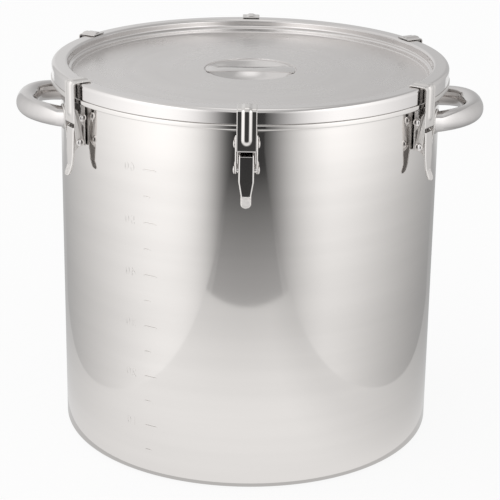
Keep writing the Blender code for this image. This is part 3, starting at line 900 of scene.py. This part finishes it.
def handle_shells(side):
    """The bent tube, flared a little where it meets the wall, and its two weld beads."""
    route = handle_route()
    rings = []
    for centre, along in zip(route, directions(route)):
        level = np.cross(along, (0, 0, 1))
        level /= np.linalg.norm(level)
        upward = np.cross(level, along)
        rings.append([centre + TUBE * (math.cos(a) * level + math.sin(a) * upward)
                      for a in round_angles(TUBE_SIDES)])
    feet = [flared_foot(rings[0]), flared_foot(rings[-1])]
    rings = [feet[0]] + rings + [feet[1]]
    points = [(side * p[0], p[1], p[2]) for ring in rings for p in ring]
    faces = grid_faces(len(rings), TUBE_SIDES, round_columns=True)
    faces.append(tuple(range(TUBE_SIDES)))
    faces.append(tuple(range(len(points) - TUBE_SIDES, len(points))))
    beads = [bead_shell([(side * p[0], p[1], p[2]) for p in foot]) for foot in feet]
    return (points, faces), beads


def bead_shell(loop):
    """A weld bead with small ripples along a closed loop on the wall."""
    loop = np.array(loop)
    line = []
    for here, there in zip(loop, np.roll(loop, -1, axis=0)):
        line += [here + (there - here) * s / WELD_STEPS for s in range(WELD_STEPS)]
    line = np.array(line)
    middle = line.mean(axis=0)
    points = []
    for i, spot in enumerate(line):
        along = line[(i + 1) % len(line)] - line[i - 1]
        along /= np.linalg.norm(along)
        outward = spot - middle
        outward -= along * outward.dot(along)
        outward /= np.linalg.norm(outward)
        upward = np.cross(along, outward)
        radius = WELD * (1 + RIPPLE * math.sin(2 * math.pi * i / RIPPLE_STEPS))
        points += [tuple(spot + radius * (math.cos(a) * outward + math.sin(a) * upward))
                   for a in round_angles(WELD_SIDES)]
    return points, grid_faces(len(line), WELD_SIDES, round_rows=True, round_columns=True)


def make_handles(finishes):
    for name, side in (("left", -1), ("right", 1)):
        tube, beads = handle_shells(side)
        add(f"handle_tube_{name}", mesh_of("handle_tube", tube), finishes["tube"],
            "pot", f"handle_{name}")
        add(f"handle_welds_{name}", mesh_of("handle_welds", *beads, sharp=80), finishes["weld"],
            "pot")


# ---------------------------------------------------------------- latches


def mirrored(side, middle):
    """A section from one side over its middle to the other side, as (across, out)."""
    return side + [(0.0, middle)] + [(-x, out) for x, out in side[::-1]]


def strap_path():
    """The strap's outer face as (out, up), from its foot up and over the lid."""
    turn_out, turn_up = STRAP_FACE - STRAP_BEND, CLAW_TOP - STRAP_BEND
    rise = [(STRAP_FACE, up) for up in np.linspace(STRAP_FOOT + STRAP_SHEET / 2, turn_up, 42)]
    bend = arc((turn_out, turn_up), STRAP_BEND, 0, 90, 12)[1:]
    claw = [(out, CLAW_TOP) for out in np.linspace(turn_out, CLAW_END + STRAP_SHEET / 2, 22)[1:]]
    return np.array(rise + bend + claw)


def strap_shell():
    """Strap and claw: a sheet bent over the lid, with a pressed rib down its middle."""
    path = strap_path()
    reach = distances(path)
    rib_start = RIB_FOOT - STRAP_FOOT + RIB_HALF
    rib_end = reach[-1] - RIB_MARGIN
    surface = []
    for (out, up), (t_out, t_up), s in zip(path, directions(path), reach):
        row = []
        for across in np.linspace(-1, 1, 49) * (STRAP_HALF - STRAP_SHEET / 2):
            distance = math.hypot(across, max(rib_start - s, 0.0))
            height = RIB_HEIGHT * smooth((RIB_HALF - distance) / (RIB_HALF - RIB_FLAT))
            height *= smooth((rib_end - s) / RIB_FADE)
            row.append((across, -(out + t_up * height), up - t_out * height))
        surface.append(row)
    return sheet(surface, STRAP_SHEET)


def arm_outline():
    """A side arm: an eye round the hook pin, a wide plate, a point beside the strap."""
    eye = arc(HOOK_PIVOT, ARM_EYE, -190, 10, 20)
    return eye + rounded([eye[-1]] + ARM_FRONT + ARM_BACK + [eye[0]], ARM_ROUND, 4)[1:-1]


def ear_edge():
    """The ears' front edge as (out, up): a low flange that widens to a lug at the pin."""
    edge = [(EAR_LOW[0], BRACKET_FOOT), EAR_LOW] + arc(PIVOT, EAR_LUG, -25, 75, 16)
    return rounded(edge + [(EAR_TOP, BRACKET_TOP)], EAR_ROUND, 4)


def bracket_shell():
    """A folded plate: a back against the wall and two ears with a bend between."""
    edge = ear_edge()
    half = SHEET / 2
    surface = []
    for up in np.linspace(BRACKET_FOOT + half, BRACKET_TOP - half, 72):
        front = np.interp(up, [z for _, z in edge], [out for out, _ in edge]) - half
        ear = [(BRACKET_HALF, out) for out in np.linspace(front, BRACKET_BACK + BRACKET_BEND, 8)[:-1]]
        bend = arc((BRACKET_HALF - BRACKET_BEND, BRACKET_BACK + BRACKET_BEND), BRACKET_BEND, 0, -90, 8)
        section = mirrored(ear + bend + [(BRACKET_HALF / 3, BRACKET_BACK)], BRACKET_BACK)
        surface.append([(x, -out, up) for x, out in section])
    return sheet(surface, SHEET)


def lever_half_width(up):
    """Full width at the channel, narrower at the tab, round at the tip."""
    above = up - LEVER_TIP
    if above < TAB_CORNER:
        return TAB_HALF - TAB_CORNER * (1 - math.sqrt(max(1 - (1 - above / TAB_CORNER) ** 2, 0.0)))
    share = min(max((up - TAB_TOP) / (WAIST_TOP - TAB_TOP), 0.0), 1.0)
    return TAB_HALF + (LEVER_HALF - TAB_HALF) * share


def lever_face(up):
    """The face leans out a little on its way down, and the tab bends out further."""
    lean = LEVER_FACE_LOW + (LEVER_FACE - LEVER_FACE_LOW) * (up - TAB_TOP) / (LEVER_TOP - TAB_TOP)
    below = max(TAB_TOP - up, 0.0)
    if below < TAB_EASE:
        bent = below * below / (2 * TAB_EASE)
    else:
        bent = below - TAB_EASE / 2
    return lean + TAB_BEND * bent / (TAB_TOP - LEVER_TIP)


def lever_shells():
    """A folded channel with an out-bent tip, and a flat cheek inside each fold."""
    half = SHEET / 2
    fold = SHEET + GAP
    tip = np.linspace(0, 1, 36) ** 1.5 * (TAB_TOP - LEVER_TIP)
    ups = np.concatenate([LEVER_TIP + half + tip, np.linspace(TAB_TOP + half, LEVER_TOP - half, 44)[1:]])
    surface = []
    for up in ups[::-1]:
        face = lever_face(up)
        flat = lever_half_width(up) - fold
        bend = arc((flat, face - fold), fold, 0, 90, 8)
        section = mirrored(bend + [(flat * s, face) for s in (0.72, 0.48, 0.24)], face)
        surface.append([(x, -out, up) for x, out in section])
    lug = arc(PIVOT, LEVER_LUG, 60, 215, 24)
    foot = CHEEK[-1][1]
    inner = [(lever_face(foot) - half - CHEEK_INSET, foot), (LEVER_FACE - SHEET, LEVER_TOP - CHEEK_INSET),
             (PIVOT[0] + LEVER_LUG, LEVER_TOP + CHEEK_CREST)]
    cheek = lug + rounded([lug[-1]] + CHEEK + inner + [lug[0]], CHEEK_ROUND, 4)[1:-1]
    middle = LEVER_HALF - CHEEK_SINK - half
    return [sheet(surface, SHEET), plate(cheek, middle, SHEET), plate(cheek, -middle, SHEET)]


def rivet_outline(half_length):
    """A pin from dome to dome as (radius, across)."""
    side = [(PIN, 0.0), (PIN, half_length - PIN_FILLET), (PIN_HEAD - PIN_EDGE, half_length),
            (PIN_HEAD, half_length + PIN_EDGE)]
    crown = []
    for a in np.radians(np.linspace(0, 90, 9))[:-1]:
        rise = PIN_DOME_RIM + (1 - PIN_DOME_RIM) * math.sin(a)
        crown.append((PIN_HEAD * math.cos(a), half_length + PIN_DOME * rise))
    half = side + crown + [(0.0, half_length + PIN_DOME)]
    return [(r, -x) for r, x in half[:0:-1]] + half


def make_latches(finishes):
    arm_middle = STRAP_HALF + SHEET / 2 - ARM_SINK
    arm = arm_outline()
    hook = [strap_shell(), plate(arm, arm_middle, SHEET), plate(arm, -arm_middle, SHEET)]
    pin = rivet_outline(STRAP_HALF + SHEET + GAP)
    pieces = {
        "bracket": (mesh_of("latch_bracket", bracket_shell()), "latch", "latch_steel", "pot"),
        "lever": (mesh_of("latch_lever", *lever_shells()), "latch", "latch_steel", "lever"),
        "hook": (mesh_of("latch_hook", *hook), "latch", "latch_steel", "hook"),
        "lever_pin": (mesh_of("latch_lever_pin", turned_pin(pin, PIVOT)), "rivet", "pin_steel", "pot"),
        "hook_pin": (mesh_of("latch_hook_pin", turned_pin(pin, HOOK_PIVOT)), "rivet", "pin_steel", "hook"),
    }
    for place, azimuth in LATCHES.items():
        for piece, (mesh, look, slot, body) in pieces.items():
            owner = body if body == "pot" else f"{body}_{place}"
            add(f"{piece}_{place}", mesh, finishes[look], owner, f"latch_{piece}_{place}", azimuth)


# ---------------------------------------------------------------- stage


def glow_card(name, points, glow):
    """A card seen only in reflections, with its own brightness at each point of a grid."""
    mesh = bpy.data.meshes.new(name)
    mesh.from_pydata([tuple(p) for p in points.reshape(-1, 3)], [], grid_faces(*glow.shape))
    levels = mesh.attributes.new("glow", "FLOAT", "POINT")
    levels.data.foreach_set("value", glow.reshape(-1).astype(np.float32))
    material = bpy.data.materials.new(name)
    material.use_nodes = True
    tree = material.node_tree
    tree.nodes.clear()
    value = tree.nodes.new("ShaderNodeAttribute")
    value.attribute_name = "glow"
    light = tree.nodes.new("ShaderNodeEmission")
    tree.links.new(value.outputs["Fac"], light.inputs["Strength"])
    tree.links.new(light.outputs[0], tree.nodes.new("ShaderNodeOutputMaterial").inputs["Surface"])
    mesh.materials.append(material)
    card = bpy.data.objects.new(name, mesh)
    bpy.context.scene.collection.objects.link(card)
    card.visible_camera = False
    card.visible_diffuse = False
    card.visible_shadow = False
    card.visible_transmission = False


def glow_at(y, glow):
    """Brightness along Y: a peak that falls off to a base, in its own way on each side."""
    fall = glow.front if y < glow.middle else glow.back
    share = math.exp(-((abs(y - glow.middle) / fall.width) ** fall.power))
    return fall.base + (glow.peak - fall.base) * share


def side_card(name, glow, foot, slant, rise, least, lift):
    """An upright card beside the kettle that brightens upwards, faster from one height to another."""
    ys = np.linspace(*SIDE_Y, 60)
    zs = np.linspace(0.0, SIDE_HEIGHT, 24)
    points = np.array([[(foot + slant * y, y, z) for z in zs] for y in ys])
    shares = [max(1 + rise * (z - SIDE_LEVEL), least) + lift * max(min(z, LIFT_TOP) - LIFT_FOOT, 0)
              for z in zs]
    glow_card(name, points, np.array([[glow_at(y, glow) * share for share in shares] for y in ys]))


def floor_card(name, x_range, y_range, brightness):
    """A card flat on the floor whose brightness follows X and Y."""
    xs = np.linspace(*x_range, 49)
    ys = np.linspace(*y_range, 60)
    points = np.array([[(x, y, 0.0) for x in xs] for y in ys])
    glow_card(name, points, np.array([[brightness(x, y) for x in xs] for y in ys]))


def bright_floor(x, y):
    """The floor round the kettle: brighter far behind it, dimmer on the right."""
    level = glow_at(y, FLOOR_GLOW) + FAR_GAIN * smooth((y - FAR_START) / FAR_RUN)
    return level * (1 - DIM_SHARE * smooth((x - DIM_START) / DIM_RUN))


def lane(y, share):
    """The dark lane in front of the bright floor fades away from the kettle."""
    return max(share * (LANE_NEAR + LANE_SLOPE * (y - LANE_Y[1])), LANE_LEAST)


def make_cards():
    side_card("left_card", LEFT_GLOW, foot=-0.385, slant=-0.085, rise=0.72, least=0.94, lift=0.9)
    side_card("right_card", RIGHT_GLOW, foot=0.405, slant=0.110, rise=1.0, least=0.90, lift=1.5)
    floor_card("bright_floor", (-STUDIO_HALF, STUDIO_HALF), FLOOR_Y, bright_floor)
    floor_card("dark_lane", (-LANE_HALF, LANE_HALF), LANE_Y, lambda x, y: lane(y, 1.0))
    floor_card("lane_left", (-STUDIO_HALF, -LANE_HALF), LANE_Y, lambda x, y: lane(y, LANE_SIDES))
    floor_card("lane_right", (LANE_HALF, STUDIO_HALF), LANE_Y, lambda x, y: lane(y, LANE_SIDES))
    ring = [(math.cos(a), math.sin(a)) for a in np.linspace(0, 2 * math.pi, SHADE_TURNS)]
    under = np.array([[(r * x, r * y, SHADE_HEIGHT) for r in SHADE_RADII] for x, y in ring])
    glow_card("contact_shade", under, np.full(under.shape[:2], SHADE_GLOW))
    xs = np.linspace(-FRONT_HALF, FRONT_HALF, 12)
    front = np.array([[(x, FRONT_Y, z) for z in np.linspace(0.0, FRONT_HEIGHT, 6)] for x in xs])
    glow_card("dark_front", front, np.full(front.shape[:2], FRONT_GLOW))
    spots = np.linspace(-OVERHEAD_HALF, OVERHEAD_HALF, 17)
    above = np.array([[(x, y + OVERHEAD_Y, OVERHEAD_HEIGHT) for y in spots] for x in spots])
    fade = [[(1.0 - math.hypot(x, y) / OVERHEAD_HALF) / OVERHEAD_FADE for y in spots] for x in spots]
    shine = np.array([[OVERHEAD_GAIN * smooth(share) + OVERHEAD_EDGE for share in row] for row in fade])
    glow_card("overhead_card", above, shine)


def make_floor():
    """A white floor that curves up into a far wall, seen by the camera only."""
    curve = arc((BACKDROP_FLAT, BACKDROP_CURVE), BACKDROP_CURVE, -90, 0, 12)
    outline = [(0.0, 0.0), (BACKDROP_FLAT / 3, 0.0), (BACKDROP_FLAT, 0.0)] + curve
    outline.append((BACKDROP_FLAT + BACKDROP_CURVE, BACKDROP_TOP))
    points = [(r * math.cos(a), r * math.sin(a), z - BACKDROP_DROP)
              for r, z in outline for a in round_angles(BACKDROP_SIDES)]
    mesh = bpy.data.meshes.new("floor")
    mesh.from_pydata(points, [], grid_faces(len(outline), BACKDROP_SIDES, round_columns=True))
    mesh.shade_smooth()
    material = bpy.data.materials.new("floor")
    material.use_nodes = True
    surface = material.node_tree.nodes["Principled BSDF"]
    surface.inputs["Base Color"].default_value = (BACKDROP_GREY, BACKDROP_GREY, BACKDROP_GREY, 1)
    surface.inputs["Roughness"].default_value = 1.0
    surface.inputs["Specular IOR Level"].default_value = 0.0
    surface.inputs["Emission Color"].default_value = (1, 1, 1, 1)
    surface.inputs["Emission Strength"].default_value = BACKDROP_GLOW
    mesh.materials.append(material)
    floor = bpy.data.objects.new("floor", mesh)
    bpy.context.scene.collection.objects.link(floor)
    floor.visible_glossy = False
    floor.visible_diffuse = False


def make_world():
    """A soft sky, brighter on the left."""
    world = bpy.data.worlds.new("studio")
    bpy.context.scene.world = world
    world.use_nodes = True
    tree = world.node_tree
    direction = split_xyz(tree, tree.nodes.new("ShaderNodeTexCoord").outputs["Generated"])
    level = ramp(tree, direction[0], (-SKY_BLEND, SKY_BLEND), (SKY_LEFT, SKY_RIGHT), "SMOOTHSTEP")
    background = tree.nodes["Background"]
    tree.links.new(level, background.inputs["Strength"])
    background.inputs["Color"].default_value = (1, 1, 1, 1)


def place_camera():
    """The camera stands 2 m in front and 0.94 m up, looking 19.6 degrees down."""
    camera = bpy.data.objects.new("camera", bpy.data.cameras.new("camera"))
    camera.data.sensor_width = 36.0
    camera.data.lens = CAMERA_LENS
    pitch, roll, yaw = (math.radians(a) for a in (CAMERA_PITCH, CAMERA_ROLL, CAMERA_YAW))
    turn = Matrix.Rotation(-yaw, 4, "Z") @ Matrix.Rotation(math.pi / 2 - pitch, 4, "X")
    camera.matrix_world = Matrix.Translation(CAMERA_PLACE) @ turn @ Matrix.Rotation(roll, 4, "Z")
    bpy.context.scene.collection.objects.link(camera)
    bpy.context.scene.camera = camera


def main():
    bpy.context.scene.view_settings.view_transform = "Standard"
    place_camera()
    make_world()
    make_floor()
    make_cards()
    finishes = make_materials()
    make_pot(finishes)
    make_lid(finishes)
    make_handles(finishes)
    make_latches(finishes)


main()
